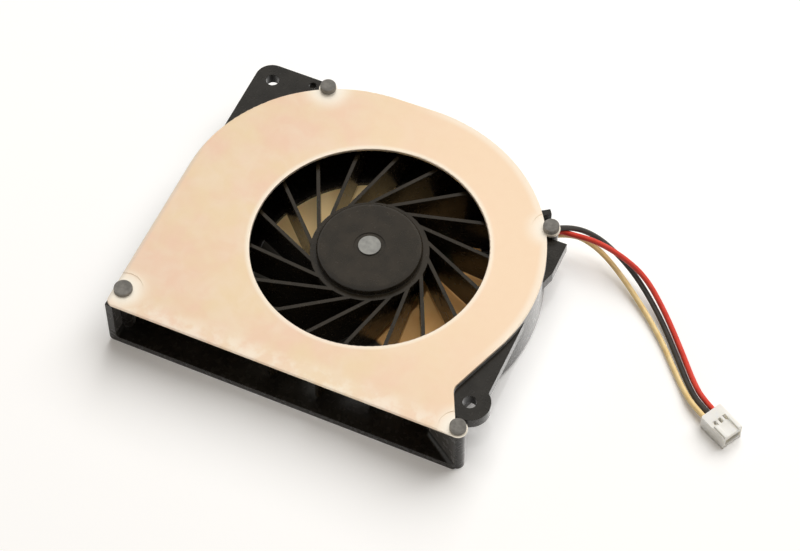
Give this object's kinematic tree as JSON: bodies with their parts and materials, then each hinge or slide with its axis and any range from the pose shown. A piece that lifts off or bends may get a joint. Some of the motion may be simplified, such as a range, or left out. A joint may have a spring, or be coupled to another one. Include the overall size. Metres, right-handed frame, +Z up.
{
  "type": "laptop cooling blower fan",
  "caption": "Thin centrifugal blower for a laptop: scroll case with sheet cover, round air inlet on top, wide slot outlet at the side, bladed rotor, screw ears and short leads with a plug.",
  "frame": {"origin": "on the rotor's axis, on the underside of the case", "axes": "+Z up along the rotor's axis to the inlet, the outlet faces -Y, the leads leave on +X"},
  "size_m": [0.0977, 0.0556, 0.0111],
  "materials": {
    "case_plastic": "moulded, semi-gloss black",
    "cover_copper": "copper-coloured satin sheet",
    "rivet_metal": "dull grey, smooth domed heads",
    "plate_copper": "copper-coloured satin sheet",
    "impeller_plastic": "moulded, satin black",
    "steel": "turned or pressed, bare",
    "tube_brass": "drawn, bare",
    "bronze": "sintered, oiled",
    "ferrite": "ground, dark grey",
    "core_steel": "stacked laminations",
    "white_plastic": "moulded, natural",
    "copper_wire": "enamelled windings",
    "board_green": "solder mask",
    "chip_black": "moulded package",
    "chip_ceramic": "fired, matt",
    "solder": "bright",
    "lead_mixed": "insulation of the leads inside the case",
    "lead_red": "red insulation",
    "lead_black": "black insulation",
    "lead_yellow": "pale yellow insulation",
    "plug_ivory": "moulded, ivory",
    "contact_tin": "plated contacts"
  },
  "bodies": {
    "frame": {"housing": "case_plastic", "top_cover": "cover_copper", "cover_rivets": "rivet_metal", "base_plate": "plate_copper", "bearing_tube": "tube_brass", "sleeve_bearing": "bronze", "thrust_pad": "white_plastic", "stator_core": "core_steel", "lower_insulator": "white_plastic", "upper_insulator": "white_plastic", "stator_coils": "copper_wire", "motor_board": "board_green", "driver_chip": "chip_black", "board_components": "chip_ceramic", "solder_joints": "solder", "inner_leads": "lead_mixed", "red_wire": "lead_red", "black_wire": "lead_black", "yellow_wire": "lead_yellow", "plug_housing": "plug_ivory", "plug_contacts": "contact_tin"},
    "rotor": {"impeller": "impeller_plastic", "rotor_yoke": "steel", "rotor_magnet": "ferrite", "shaft_bush": "steel", "shaft": "steel", "retaining_ring": "white_plastic"}
  },
  "joints": [
    {"name": "impeller_spin", "type": "hinge", "parent": "frame", "child": "rotor", "pos_m": [0, 0, 0], "axis": [0, 0, 1], "continuous": true}
  ]
}
